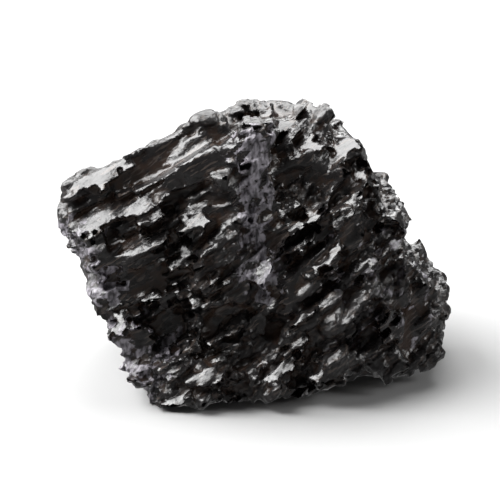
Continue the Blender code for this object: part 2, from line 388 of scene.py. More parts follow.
# %% Scatter the scraps
FLOOR_GAP = 0.3
KINDS = (
    # name, tries, where, (length, depth, thickness) ranges in mm, lean in radians, proud in mm
    ("plate", 220, bedded, ((3.0, 10.0), (1.6, 3.4), (0.5, 1.1)), 0.05, (0.2, 0.8)),
    ("splinter", 280, splintery, ((4.0, 12.0), (0.9, 1.8), (0.4, 0.8)), 0.07, (0.2, 0.7)),
    ("chip", 700, crumbly, ((1.8, 4.4), (1.4, 3.2), (0.6, 1.4)), 0.25, (0.1, 0.8)),
    ("crumb", 1100, crumbly, ((0.8, 1.9), (0.7, 1.6), (0.5, 1.2)), 0.60, (0.1, 0.6)),
)
for name, tries, where, spans, lean, proud in KINDS:
    spots = [spot_on_skin() for _ in range(tries)]
    chance = where(np.array([spot for spot, _ in spots]))
    off_floor = [(spot, odds) for spot, odds in zip(spots, chance) if spot[0].z > FLOOR_GAP]
    chosen = [spot for spot, odds in off_floor if rng.random() < odds]
    kept = 0
    for point, outward in chosen:
        size = [rng.uniform(*span) for span in spans]
        kept += place_scrap(point, outward, size, lean, rng.uniform(*proud))
    print(name, kept, "of", len(chosen))

# %% [markdown]
# ### A few listed
#
# Chance doesn't fill every place that matters. Two plates level the crest, and a handful of
# splinters break up the plain face left of the seam.

# %% A few listed scraps
HAND_LEAN = 0.05
HAND_OVERHANG = 1.6
HAND_SCRAPS = (
    # near this point of the lump, size in mm, how far it stands out in mm
    (Vector((6.4, 2.0, 34.2)), (5.0, 3.0, 1.6), 0.9),
    (Vector((8.8, 0.0, 34.2)), (5.5, 3.0, 1.6), 1.1),
    (seen_at(-7.0, -1.4), (7.0, 1.4, 0.9), 0.7),
    (seen_at(-8.4, -3.4), (8.0, 1.5, 0.8), 0.6),
    (seen_at(-6.6, -4.6), (7.0, 1.3, 0.9), 0.8),
    (seen_at(-8.6, -6.0), (6.0, 1.4, 0.8), 0.7),
    (seen_at(-6.4, -7.4), (8.0, 1.5, 0.9), 0.7),
    (seen_at(-8.0, -8.8), (6.0, 1.3, 0.8), 0.6),
    (seen_at(-4.0, -2.6), (6.0, 1.2, 0.8), 0.6),
    (seen_at(-3.4, -5.8), (7.0, 1.3, 0.8), 0.7),
)
kept = 0
for near, size, proud in HAND_SCRAPS:
    point, outward, _, _ = bare.find_nearest(near)
    kept += place_scrap(point, outward, size, HAND_LEAN, proud, HAND_OVERHANG)
print("by hand", kept, "of", len(HAND_SCRAPS))

# %% [markdown]
# ## One skin
#
# The scraps only overlap so far. A voxel remesh melts them and the lump into one closed
# skin, with slightly rounded edges, as a resin has where it softened after it broke.

# %% Fuse
VOXEL = 0.19


def apply_modifiers(obj):
    """Swaps an object's mesh for the one that its modifiers make."""
    graph = bpy.context.evaluated_depsgraph_get()
    mesh = bpy.data.meshes.new_from_object(obj.evaluated_get(graph))
    obj.modifiers.clear()
    old = obj.data
    obj.data = mesh
    bpy.data.meshes.remove(old)


def fuse(obj, voxel):
    """Melts all that overlaps into one closed skin, drawn in voxels `voxel` mm wide."""
    remesh = obj.modifiers.new("Fuse", "REMESH")
    remesh.mode = "VOXEL"
    remesh.voxel_size = voxel
    apply_modifiers(obj)


lump = bpy.data.objects.new("resin_lump", bpy.data.meshes.new("resin_lump"))
bpy.context.scene.collection.objects.link(lump)
stock.to_mesh(lump.data)
stock.free()
fuse(lump, VOXEL)
print("fused skin:", len(lump.data.vertices), "points")

# %% [markdown]
# ## Relief
#
# Resin breaks in small flat facets, longer along the bed than across it. Each layer of
# relief is a mosaic: space is divided into irregular cells, and each cell pushes the skin
# in or out and tilts it a little. Coarse cells first, then finer ones.

# %% A mosaic of cells
CORNERS = np.array([(i, j, k) for i in (-1, 0, 1) for j in (-1, 0, 1) for k in (-1, 0, 1)])
MIX = np.array([(127.1, 269.5, 419.2), (311.7, 183.3, 371.9), (74.7, 246.1, 158.6)])
SPREAD = 43758.5453
FAR_OFF = 9.0
LUCK_SEED = 17.0
MARGIN = 0.1


def dice(cells, seed):
    """Three repeatable random numbers from 0 to 1 for each cell."""
    return np.modf(np.abs(np.sin(cells @ MIX + seed) * SPREAD))[0]


def mosaic(places, seed):
    """For each place, the way to it from its cell's centre, and the cell's dice.

    A centre keeps `MARGIN` clear of the sides of the unit cube that it is drawn in.
    """
    base = np.floor(places)
    nearest = np.full(len(places), FAR_OFF)
    away = np.zeros_like(places)
    luck = np.zeros_like(places)
    for corner in CORNERS:
        cell = base + corner
        reach = places - (cell + MARGIN + (1 - 2 * MARGIN) * dice(cell, seed))
        far = (reach**2).sum(axis=1)
        nearer = far < nearest
        nearest = np.where(nearer, far, nearest)
        away[nearer] = reach[nearer]
        luck[nearer] = dice(cell[nearer], seed + LUCK_SEED)
    return away, luck


print("dice of the first cell:", np.round(dice(np.zeros((1, 3)), 1.0)[0], 2))

# %% [markdown]
# ## Facets
#
# The broad faces that give the lump its character are not random. Each is a flat, pressed
# into the skin at a chosen place: ledges that slope up to the light and shine, and upright
# breaks that mirror the ground. A ledge's flat lies between its bed and the face it comes
# out of. Its outline follows a mosaic, so it breaks off in corners and not in a curve.

# %% Axes of a bed
def bed_axes(up):
    """Rows of a turn into a bed's own directions: along its outcrop, into the lump, and up."""
    up = np.array(up)
    along = np.cross((0.0, -1.0, 0.0), up)
    along /= np.linalg.norm(along)
    return np.array((along, np.cross(up, along), up))


print("axes of the left bed:", np.round(bed_axes(LEFT_BED), 2).tolist())

# %% Ledges
LEDGES = (
    # across and up in the view, length along the bed and height in mm, lean out of the bed in
    # degrees, how far it stands out in mm
    ((-19.4, 4.4), (8.4, 4.6), 30, 0.2),
    ((-16.7, 1.0), (5.4, 3.0), 30, 1.0),
    ((-12.8, 2.4), (4.4, 2.2), 32, 1.0),
    ((-13.6, 6.6), (4.0, 2.0), 34, 0.3),
    ((-9.0, -0.2), (5.4, 2.0), 44, 1.5),
    ((-7.6, 5.0), (3.0, 2.0), 32, 0.8),
    ((-19.6, 10.2), (6.0, 2.0), 30, 0.0),
    ((2.5, 18.0), (5.0, 2.6), 34, 0.3),
    ((7.0, 18.4), (6.0, 2.0), 34, 0.3),
    ((5.4, 14.8), (6.0, 1.6), 36, 1.0),
    ((8.0, 14.4), (4.0, 2.4), 32, 0.4),
    ((12.6, 14.6), (6.0, 2.8), 32, 0.3),
    ((14.6, 11.0), (4.4, 2.2), 40, 1.6),
    ((12.6, 6.2), (5.4, 3.0), 45, 1.6),
    ((10.8, 4.7), (4.4, 1.8), 45, 1.8),
    ((8.4, 5.6), (4.6, 2.2), 45, 1.5),
    ((4.2, 6.2), (4.2, 2.0), 45, 1.5),
    ((17.4, 5.8), (4.2, 2.2), 45, 1.6),
    ((18.8, 1.2), (4.0, 2.2), 45, 1.6),
    ((12.4, -3.0), (4.0, 1.4), 45, 0.8),
    ((9.4, -0.8), (5.0, 1.1), 45, 1.0),
    ((-2.2, -9.0), (3.0, 1.2), 45, 1.2),
    ((-5.6, -16.2), (5.4, 1.6), 48, 0.5),
    ((-1.0, -16.0), (5.4, 1.8), 48, 1.2),
    ((-9.4, -18.6), (4.0, 1.8), 48, 0.4),
    ((4.4, -14.8), (5.0, 1.8), 46, 1.0),
    ((9.0, -14.4), (4.0, 1.8), 45, 1.0),
    ((-17.5, -9.0), (4.0, 2.0), 40, 1.0),
    ((1.6, -1.6), (4.0, 1.6), 45, 0.8),
    ((17.0, -8.0), (4.0, 1.8), 45, 1.8),
    # thin streaks on the darker middle
    ((-4.2, -4.2), (4.4, 1.0), 45, 1.2),
    ((-6.2, -3.1), (2.2, 1.0), 45, 1.2),
    ((-8.7, -4.9), (2.2, 1.0), 45, 1.2),
    ((-8.1, -6.5), (3.0, 1.0), 45, 1.2),
    ((-6.1, -11.5), (3.0, 1.0), 46, 1.2),
    ((-12.6, -5.0), (3.6, 0.9), 42, 1.0),
    ((4.5, 2.0), (4.2, 1.0), 45, 1.2),
    ((6.4, -7.4), (3.2, 1.2), 45, 1.2),
    ((5.0, -12.3), (4.0, 1.0), 46, 1.0),
    ((14.5, -1.7), (3.8, 1.2), 45, 1.5),
    ((17.5, 0.1), (2.4, 1.2), 45, 1.6),
)
print("ledges:", len(LEDGES))

# %% Upright breaks
BREAKS = (
    # across and up in the view, width and height in mm, the way it faces
    ((0.4, 13.5), (3.0, 6.0), (-0.15, -1.0, 0.05)),
    ((0.9, 8.5), (3.4, 6.0), (0.25, -1.0, 0.0)),
    ((2.6, 5.4), (3.6, 3.6), (-0.2, -1.0, 0.1)),
    ((-23.0, 1.6), (3.0, 4.0), (-0.5, -1.0, -0.1)),
    ((-17.4, -2.8), (3.4, 3.6), (-0.1, -1.0, 0.05)),
    ((-15.0, -13.5), (6.0, 5.5), (-0.25, -1.0, 0.02)),
    ((-10.5, -10.5), (4.0, 3.6), (0.1, -1.0, 0.12)),
)
FAR_BREAKS = (
    # near this point of the lump, length along the bed and height, in mm, the way it faces
    ((-10.0, 17.0, 18.0), (12.0, 6.0), (-0.25, 1.0, 0.15)),
    ((8.0, 18.0, 21.0), (13.0, 7.0), (0.15, 1.0, 0.35)),
    ((-1.0, 19.0, 8.0), (12.0, 5.0), (0.05, 1.0, -0.1)),
    ((14.0, 17.0, 9.0), (9.0, 5.0), (0.35, 1.0, 0.1)),
    ((-23.0, 7.0, 21.0), (9.0, 5.0), (-1.0, 0.35, 0.0)),
    ((-20.0, 2.0, 10.0), (10.0, 4.0), (-1.0, 0.1, -0.4)),
    ((23.0, 4.0, 15.0), (10.0, 6.0), (1.0, 0.2, 0.25)),
    ((14.2, 3.0, 28.6), (11.0, 8.0), (0.75, 0.23, 0.63)),
    ((17.0, 2.0, 26.0), (9.0, 6.0), (0.8, 0.1, 0.5)),
    ((2.0, 9.0, 31.0), (10.0, 6.0), (0.1, 0.6, 0.9)),
    ((-14.0, 13.0, 26.0), (12.0, 6.0), (-0.3, 0.6, 0.7)),
)
print("breaks:", len(BREAKS), "on the front,", len(FAR_BREAKS), "round the back and sides")

# %% Pressing a facet
PRESS_OUT = 3.0
FAR_PRESS_OUT = 0.8
PRESS_IN = 2.4
FACET_JAG = np.array((3.2, 2.2, 1.0))
FACET_SEED = 41.0


def press_facet(points, middle, facing, along, size, push, most_out):
    """Brings the skin near `middle` on to a flat that faces `facing`. Returns where it did."""
    facing = np.array(facing.normalized())
    along = np.array(along.normalized())
    slope = np.cross(facing, along)
    offset = points - np.array(middle)
    near = np.flatnonzero(np.abs(offset).max(axis=1) < max(size) + most_out)
    offset = offset[near]
    bed = bed_axes(bed_at(middle))
    jag = (mosaic(points[near] @ bed.T / FACET_JAG, FACET_SEED)[1] - 0.5) * FACET_JAG
    inside = np.abs(offset @ along + jag[:, 0]) < size[0] / 2
    inside &= np.abs(offset @ slope + jag[:, 2]) < size[1] / 2
    push = np.array(push.normalized())
    inside &= np.abs(offset @ push) < most_out + PRESS_IN
    shift = -(offset @ facing) / (facing @ push)
    near = near[inside]
    points[near] += np.clip(shift[inside], -PRESS_IN, most_out)[:, None] * push
    return near


print("facets reach up to", PRESS_OUT, "mm out and", PRESS_IN, "mm in")

# %% [markdown]
# ## Carving the skin
#
# The ledges and breaks are pressed first. Then three layers of mosaic, from 10 mm cells down
# to 2 mm, push and tilt the rest of the skin. Where the resin is stepped, a cell climbs like
# a stair, so the edges of thin beds show. Pressed flats and clean breaks stay nearly smooth.

# %% Reading a mesh
def read_points(mesh):
    """A mesh's points and their normals, as two arrays of rows."""
    points = np.empty(len(mesh.vertices) * 3)
    mesh.vertices.foreach_get("co", points)
    normals = np.empty(len(mesh.vertices) * 3)
    mesh.vertices.foreach_get("normal", normals)
    return points.reshape(-1, 3), normals.reshape(-1, 3)


print("points to carve:", len(read_points(lump.data)[0]))

# %% Stepped places
LEAST_STEPPED = 0.15
STEPPED_PATCHES = (
    # middle, reach in mm, strength
    ((-18.2, -12.0, 22.5), (8.0, 8.0, 5.0), 1.0),
    ((-10.2, -12.0, 19.0), (5.0, 8.0, 6.0), 0.7),
    ((7.8, -8.0, 33.0), (10.0, 10.0, 5.0), 1.0),
    ((7.8, -13.0, 26.0), (8.0, 8.0, 3.5), 0.8),
    ((-1.2, -16.0, 4.0), (15.0, 8.0, 4.5), 1.0),
    ((18.8, -8.0, 14.0), (9.0, 15.0, 12.0), 0.6),
    ((-1.2, 14.0, 18.0), (22.0, 10.0, 16.0), 0.45),
)


def stepped(points):
    """Where the edges of thin beds climb like stairs."""
    return strongest(points, STEPPED_PATCHES, LEAST_STEPPED)


print("stepped patches:", len(STEPPED_PATCHES))

# %% Layers of relief
MOST_PROUD = 0.9
CALM_SHARE = 0.8
RELIEF_SEED = 3.0
LAYERS = (
    # cell length, depth and thickness in mm, in the beds' own directions; push and tilt in mm;
    # slope of a step; share of stepped cells; how much is left where it isn't crumbly
    ((10.0, 6.0, 2.3), 0.50, 0.35, 0.70, 0.45, 0.6),
    ((4.6, 3.6, 1.3), 0.32, 0.34, 0.80, 0.40, 0.45),
    ((1.9, 1.6, 0.8), 0.20, 0.28, 0.80, 0.35, 0.35),
)


def carve(points):
    """How far each point moves along its normal, in mm."""
    left = points[:, 0] < SEAM_X
    places = np.where(left[:, None], points @ bed_axes(LEFT_BED).T, points @ bed_axes(RIGHT_BED).T)
    crumble = crumbly(points)
    steps = stepped(points)
    total = np.zeros(len(points))
    for number, (size, push, tilt, slope, share, least) in enumerate(LAYERS):
        away, luck = mosaic(places / size, RELIEF_SEED + number)
        lean = ((luck - 0.5) * away).sum(axis=1) * 2
        flat = (least + (1 - least) * crumble) * (push * (luck[:, 0] - 0.5) * 2 + tilt * lean)
        step = -slope * size[2] * away[:, 2]
        total += flat + np.where(luck[:, 1] < share * steps, step, 0.0)
    return np.minimum(total * (1.0 - CALM_SHARE * smoothness(points)), MOST_PROUD)


print("cells, mm:", [layer[0] for layer in LAYERS])

# %% Press the facets
LEDGE_CALM = 1.0
BREAK_CALM = 0.35
FAR_CALM = 0.8

points, normals = read_points(lump.data)
calm = np.zeros(len(points))
for (across, up), size, lean, proud in LEDGES:
    middle = seen_at(across, up)
    bed = bed_at(middle)
    middle = middle + FRONT * proud
    facing = bed * math.cos(math.radians(lean)) + FRONT * math.sin(math.radians(lean))
    pressed = press_facet(points, middle, facing, FRONT.cross(bed), size, FRONT, PRESS_OUT)
    calm[pressed] = LEDGE_CALM
for (across, up), size, facing in BREAKS:
    middle, along = seen_at(across, up), Vector((1, 0, 0))
    pressed = press_facet(points, middle, Vector(facing), along, size, FRONT, PRESS_OUT)
    calm[pressed] = BREAK_CALM
for near, size, facing in FAR_BREAKS:
    middle, outward, _, _ = bare.find_nearest(near)
    facing = Vector(facing)
    along = facing.cross(bed_at(middle))
    pressed = press_facet(points, middle, facing, along, size, outward, FAR_PRESS_OUT)
    calm[pressed] = FAR_CALM
print("pressed share:", round(float((calm > 0).mean()), 2))

# %% Carve
BOX_ALLOWANCE = 0.3
FLAT_FOOT = np.array((1.0, 1.0, 0.0))

depth = carve(points) * (1.0 - CALM_SHARE * calm)
points = points + normals * depth[:, None]
points = np.clip(points, CAD_LOW - BOX_ALLOWANCE * FLAT_FOOT, CAD_HIGH + BOX_ALLOWANCE)
lump.data.vertices.foreach_set("co", points.ravel())
lump.data.update()
print("relief, mm:", round(depth.min(), 2), "to", round(depth.max(), 2))

# %% Remember the fresh breaks
fresh_spots = KDTree(len(points))
for index, point in enumerate(points):
    fresh_spots.insert(point, index)
fresh_spots.balance()
fresh_amount = np.maximum(calm, smoothness(points))
print("fresh share:", round(float(fresh_amount.mean()), 2))

# %% [markdown]
# ## A clean mesh
#
# Carving leaves steep, stretched faces, so the skin is fused once more, which also closes any
# fold. Flat places need no small triangles, and Decimate keeps those for the edges. Last,
# thin spikes are blunted, as they would break off a real lump, and bits that came loose are
# swept up.

# %% Smoothing
def smoothed(mesh, points, turns):
    """The points after each has moved to the middle of its neighbours, several times over."""
    ends = np.empty(len(mesh.edges) * 2, int)
    mesh.edges.foreach_get("vertices", ends)
    one, other = ends.reshape(-1, 2).T
    one, other = np.concatenate((one, other)), np.concatenate((other, one))
    near = np.bincount(one, minlength=len(points))[:, None]
    for _ in range(turns):
        total = [np.bincount(one, points[other, axis], len(points)) for axis in range(3)]
        points = np.array(total).T / near
    return points


print("points before thinning:", len(lump.data.vertices))

# %% Fuse again and thin
MOST_TRIANGLES = 196_000
fuse(lump, VOXEL)
lump.data.calc_loop_triangles()
thin = lump.modifiers.new("Thin", "DECIMATE")
thin.ratio = min(1.0, MOST_TRIANGLES / len(lump.data.loop_triangles))
print("triangles before thinning:", len(lump.data.loop_triangles))
apply_modifiers(lump)

# %% Blunt the spikes
SPIKE_TURNS = 25
SPIKE = 0.9
points, normals = read_points(lump.data)
blunt = smoothed(lump.data, points, SPIKE_TURNS)
spikes = ((points - blunt) * normals).sum(axis=1) > SPIKE
points[spikes] = blunt[spikes]
print("spikes blunted:", int(spikes.sum()), "of", len(points))
points[:, 2] = np.maximum(points[:, 2], 0.0)
lump.data.vertices.foreach_set("co", points.ravel())

# %% Islands
SLIVER = 0.002


def islands(body):
    """The separate shells of a bmesh, as lists of vertices, the largest last."""
    body.verts.index_update()
    seen = [False] * len(body.verts)
    found = []
    for start in body.verts:
        if seen[start.index]:
            continue
        seen[start.index] = True
        island = [start]
        for vert in island:
            for other in (edge.other_vert(vert) for edge in vert.link_edges):
                if not seen[other.index]:
                    seen[other.index] = True
                    island.append(other)
        found.append(island)
    return sorted(found, key=len)


body = bmesh.new()
body.from_mesh(lump.data)
bmesh.ops.remove_doubles(body, verts=body.verts, dist=SLIVER)
bmesh.ops.dissolve_degenerate(body, edges=body.edges, dist=SLIVER)
print("shells:", len(islands(body)))

# %% Sweep up
# A face under FLAT mm2 has no direction, and an edge with one face or three is a hole or a fold.
# Both are cut out with what they touch, and the gap is filled.
SWEEPS = 3
FLAT = 1e-5

for _ in range(SWEEPS):
    loose = [vert for island in islands(body)[:-1] for vert in island]
    bmesh.ops.delete(body, geom=loose, context="VERTS")
    spoiled = [edge for edge in body.edges if len(edge.link_faces) != 2]
    spoiled += [edge for face in body.faces if face.calc_area() < FLAT for edge in face.edges]
    tangled = list(dict.fromkeys(face for edge in spoiled for face in edge.link_faces))
    bmesh.ops.delete(body, geom=tangled, context="FACES")
    open_edges = [edge for edge in body.edges if edge.is_boundary]
    bmesh.ops.holes_fill(body, edges=open_edges, sides=0)
    bmesh.ops.triangulate(body, faces=body.faces)
    print("loose points:", len(loose), "spoiled edges:", len(spoiled))

# %% Back to metres
SHARP_EDGE = math.radians(26)

bmesh.ops.recalc_face_normals(body, faces=body.faces)
bmesh.ops.scale(body, vec=(MM,) * 3, verts=body.verts)
body.to_mesh(lump.data)
body.free()
lump.data.shade_smooth()
lump.data.set_sharp_from_angle(angle=SHARP_EDGE)
print("triangles:", len(lump.data.polygons))

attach(lump, "root")
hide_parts("shilajit_lump")

# %% [markdown]
# ## Where it is dusty and where it is deep
#
# Four masks steer the finish, and each is kept on the mesh as an attribute. The hollows are
# found by smoothing the skin: a point that ends up further out than it began sits in a pit.
# Dust and bloom lie on the old, crumbly breaks, with ragged edges. Fresh breaks shine, and
# crumbly places sparkle.

# %% Hollows
SMOOTHING_TURNS = 12
HOLLOW_DEPTH = 0.25
MOSTLY = 0.6


def keep(name, values):
    """Keeps a value for each point of the lump as an attribute."""
    lump.data.attributes.new(name, "FLOAT", "POINT").data.foreach_set("value", values)
    print(name, "share:", round(float((values > MOSTLY).mean()), 2))


points, normals = read_points(lump.data)
points /= MM
sunk = ((smoothed(lump.data, points, SMOOTHING_TURNS) - points) * normals).sum(axis=1)
# The hollow mask also places the painted light, a brown painted into the pits.
keep("hollow", np.clip(sunk / HOLLOW_DEPTH, -1.0, 1.0) * 0.5 + 0.5)

# %% Dusty, fresh and crumbly places
LEAST_DUSTY = 0.12
DUST_JAG = np.array((2.6, 2.6, 4.0))
DUST_CELLS = np.array((1.8, 1.8, 3.0))
DUST_SEED = 61.0
DUSTY_PATCHES = (
    # middle, reach in mm, strength
    ((-0.4, -14.0, 27.5), (2.6, 10.0, 11.0), 1.15),
    ((0.4, -14.0, 18.0), (4.0, 8.0, 4.0), 0.95),
    ((-23.5, -8.0, 18.0), (5.0, 10.0, 6.0), 0.95),
    ((-19.5, -13.0, 15.0), (3.0, 8.0, 3.0), 1.1),
    ((-15.5, -13.0, 4.0), (6.0, 8.0, 7.0), 1.1),
    ((17.0, -10.0, 14.0), (10.0, 10.0, 11.0), 0.62),
    ((10.0, 14.0, 12.0), (14.0, 10.0, 12.0), 0.4),
)
ragged = points + (mosaic(points / DUST_CELLS, DUST_SEED)[1] - 0.5) * DUST_JAG
keep("dust", strongest(ragged, DUSTY_PATCHES, LEAST_DUSTY))
keep("fresh", fresh_amount[[fresh_spots.find(point)[1] for point in points]])
keep("crumble", crumbly(points))

# %% [markdown]
# ## The resin
#
# Hard shilajit is a black, glassy resin. Light goes a little way into a thin edge and comes
# back brown; here that brown is painted into the pits as painted light. A fresh break mirrors
# the room, and an old break carries a grey bloom with a touch of lilac. All of it is one
# material, steered by the masks and by soft noise that is fixed to the lump. Colours are
# written as people pick them and turned into light amounts.

# %% Colours and nodes
def linear(hex_colour):
    """An sRGB colour such as "#a6a6a6" as light amounts, with an alpha of 1."""
    parts = [int(hex_colour[i : i + 2], 16) / 255 for i in (1, 3, 5)]
    light = [p / 12.92 if p <= 0.04045 else ((p + 0.055) / 1.055) ** 2.4 for p in parts]
    return (*light, 1.0)


def add_node(tree, kind, settings=None, links=None):
    """Adds a node, with `settings` for its sockets or properties and `links` into its sockets."""
    node = tree.nodes.new(kind)
    for name, value in (settings or {}).items():
        if isinstance(name, int) or name in node.inputs:
            node.inputs[name].default_value = value
        else:
            setattr(node, name, value)
    for name, source in (links or {}).items():
        tree.links.new(source, node.inputs[name])
    return node


RESIN_IOR = 1.5

# Shilajit is a humic resin full of fine mineral dust. It left the rock as soft as tar, hardened
# in beds, and was broken by hand. Breaking left glassy facets with sharp edges, and rubbing
# against other lumps left a grey bloom on the oldest ones. The eye gets a deep neutral black,
# crisp silver highlights where a facet meets the light, and next to no colour of its own.
resin = bpy.data.materials.new("Shilajit resin, hardened and broken")
resin.use_nodes = True
tree = resin.node_tree
shader = tree.nodes["Principled BSDF"]
shader.inputs["IOR"].default_value = RESIN_IOR
place = add_node(tree, "ShaderNodeTexCoord").outputs["Object"]
print("a mid grey in light amounts:", round(linear("#808080")[0], 3))

# %% [markdown]
# ### Colour
#
# The black varies a little in specks under a millimetre wide. In the pits a brown is painted
# as painted light: it stands in for light that goes into the thin skin there and bounces back
# out. Dull brown streaks along the beds are the edges of single laminae. The bloom breaks up
# facet by facet, because dust clings to some and was rubbed off others, and what was left
# lies in upright strokes.

# %% Masks and soft noise
SPECK = 0.7 * MM
BLOTCH = 1.6 * MM
BLOOM = 0.9 * MM

hollow_mask = add_node(tree, "ShaderNodeAttribute", {"attribute_name": "hollow"}).outputs["Fac"]
dust_mask = add_node(tree, "ShaderNodeAttribute", {"attribute_name": "dust"}).outputs["Fac"]
fresh_mask = add_node(tree, "ShaderNodeAttribute", {"attribute_name": "fresh"}).outputs["Fac"]
crumble_mask = add_node(tree, "ShaderNodeAttribute", {"attribute_name": "crumble"}).outputs["Fac"]
specks = add_node(
    tree, "ShaderNodeTexNoise", {"Scale": 1 / SPECK, "Detail": 4.0}, {"Vector": place}
).outputs["Fac"]
blotches = add_node(
    tree, "ShaderNodeTexNoise", {"Scale": 1 / BLOTCH, "Detail": 3.0}, {"Vector": place}
).outputs["Fac"]
bloom = add_node(
    tree, "ShaderNodeTexNoise", {"Scale": 1 / BLOOM, "Detail": 4.0}, {"Vector": place}
).outputs["Fac"]
# Where the painted light goes: brown in the pits, for light scattered back out of thin resin.
pits = add_node(
    tree, "ShaderNodeMath", {"operation": "MULTIPLY"}, {0: hollow_mask, 1: blotches}
).outputs["Value"]
print("specks a millimetre:", round(MM / SPECK, 1))

# %% Bloom, facet by facet
BLOOM_FACET = 0.9 * MM
SHORT_FACETS = (2.4, 2.0, 1.0)
MEAN_BED = (LEFT_BED + RIGHT_BED).normalized()
FACET_SWING = 0.25
BLOOM_STARTS, BLOOM_FULL = 0.40, 0.52

bed_turn = Matrix(bed_axes(MEAN_BED).tolist()).transposed().to_euler()
short_bed = add_node(
    tree, "ShaderNodeMapping",
    {"vector_type": "TEXTURE", "Rotation": bed_turn, "Scale": SHORT_FACETS}, {"Vector": place}
).outputs["Vector"]
bloom_facets = add_node(
    tree, "ShaderNodeTexVoronoi", {"Scale": 1 / BLOOM_FACET}, {"Vector": short_bed}
).outputs["Color"]
facet_luck = add_node(tree, "ShaderNodeSeparateColor", links={"Color": bloom_facets}).outputs["Red"]
facet_bloom = add_node(
    tree, "ShaderNodeMapRange", {"To Min": -FACET_SWING, "To Max": FACET_SWING},
    {"Value": facet_luck}
).outputs["Result"]
patchy = add_node(
    tree, "ShaderNodeMath", {"operation": "ADD"}, {0: facet_bloom, 1: bloom}
).outputs["Value"]
clouds = add_node(
    tree, "ShaderNodeMath", {"operation": "MULTIPLY"}, {0: dust_mask, 1: patchy}
).outputs["Value"]
dusty = add_node(
    tree, "ShaderNodeMapRange", {"From Min": BLOOM_STARTS, "From Max": BLOOM_FULL},
    {"Value": clouds}
).outputs["Result"]
print("beds turned by, degrees:", [round(math.degrees(angle)) for angle in bed_turn])

# %% Strokes in the bloom
UPRIGHT = (1.0, 1.0, 3.0)
STROKE = 0.5 * MM
STROKE_STARTS, STROKE_FULL = 0.36, 0.60

upright = add_node(
    tree, "ShaderNodeMapping", {"vector_type": "TEXTURE", "Scale": UPRIGHT}, {"Vector": place}
).outputs["Vector"]
strokes = add_node(
    tree, "ShaderNodeTexNoise", {"Scale": 1 / STROKE, "Detail": 2.0}, {"Vector": upright}
).outputs["Fac"]
stroked = add_node(
    tree, "ShaderNodeMapRange", {"From Min": STROKE_STARTS, "From Max": STROKE_FULL},
    {"Value": strokes}
).outputs["Result"]
print("a stroke of bloom, mm:", [round(STROKE / MM * part, 1) for part in UPRIGHT])

# %% Thin edges of the beds
# Single laminae are about a tenth of a millimetre thick. The edges are drawn three times as
# thick, or they would not show.
THIN_EDGE = 0.32 * MM
LONG_LAMINAE = (6.0, 4.0, 1.0)
EDGE_STARTS, EDGE_FULL = 0.59, 0.67

along_bed = add_node(
    tree, "ShaderNodeMapping",
    {"vector_type": "TEXTURE", "Rotation": bed_turn, "Scale": LONG_LAMINAE}, {"Vector": place}
).outputs["Vector"]
edges = add_node(
    tree, "ShaderNodeTexNoise", {"Scale": 1 / THIN_EDGE, "Detail": 1.0}, {"Vector": along_bed}
).outputs["Fac"]
edged = add_node(
    tree, "ShaderNodeMapRange", {"From Min": EDGE_STARTS, "From Max": EDGE_FULL},
    {"Value": edges}
).outputs["Result"]
print("a thin edge, mm:", [round(THIN_EDGE / MM * part, 1) for part in LONG_LAMINAE])

# %% Colours of the resin
PITCH_BLACK, WORN_BLACK = linear("#1b1919"), linear("#201e1e")
# The pit colour is painted light, for light scattered back out of the thin resin in the pits; the
# edge brown is the laminae's own colour.
PAINTED_PIT_LIGHT, EDGE_BROWN = linear("#2d221c"), linear("#3f3834")
DARK_BLOOM, PALE_BLOOM = linear("#373438"), linear("#87838a")
SPECK_STARTS, SPECK_FULL = 0.35, 0.65
PIT_LIGHT_STARTS, PIT_LIGHT_FULL = 0.30, 0.50

speckled = add_node(
    tree, "ShaderNodeMapRange", {"From Min": SPECK_STARTS, "From Max": SPECK_FULL},
    {"Value": specks}
).outputs["Result"]
# How strongly the painted light in the pits shows.
painted_pit_light = add_node(
    tree, "ShaderNodeMapRange", {"From Min": PIT_LIGHT_STARTS, "From Max": PIT_LIGHT_FULL},
    {"Value": pits}
).outputs["Result"]
black = add_node(
    tree, "ShaderNodeMix", {"data_type": "RGBA", 6: PITCH_BLACK, 7: WORN_BLACK},
    {"Factor": speckled}
).outputs[2]
# The black with the painted light in the pits laid over it.
brown = add_node(
    tree, "ShaderNodeMix", {"data_type": "RGBA", 7: PAINTED_PIT_LIGHT}, {"Factor": painted_pit_light, 6: black}
).outputs[2]
layered = add_node(
    tree, "ShaderNodeMix", {"data_type": "RGBA", 7: EDGE_BROWN}, {"Factor": edged, 6: brown}
).outputs[2]
lilac = add_node(
    tree, "ShaderNodeMix", {"data_type": "RGBA", 6: DARK_BLOOM, 7: PALE_BLOOM},
    {"Factor": stroked}
).outputs[2]
bloomed = add_node(
    tree, "ShaderNodeMix", {"data_type": "RGBA"}, {"Factor": dusty, 6: layered, 7: lilac}
).outputs[2]
tree.links.new(bloomed, shader.inputs["Base Color"])
print("black in light amounts:", [round(part, 4) for part in PITCH_BLACK[:3]])

# %% [markdown]
# ### Gloss and grain
#
# Clean breaks are the glossiest. Elsewhere the skin is duller by turns, and the bloom dulls
# it most. The grain is too fine to model: pin-sized pits, and laminations that run along the
# beds like the edges of a stack of paper. Where the resin crumbled, flakes about as large as
# a grain of sugar each tilt their own way, and sparkle.

# %% Gloss
SHEEN_PATCH = 5.0 * MM
SHEEN_STARTS, SHEEN_FULL = 0.35, 0.70
SHINY_ROUGHNESS, WORN_ROUGHNESS = 0.24, 0.40
FRESH_ROUGHNESS = 0.20
BLOOM_ROUGHNESS = 0.22

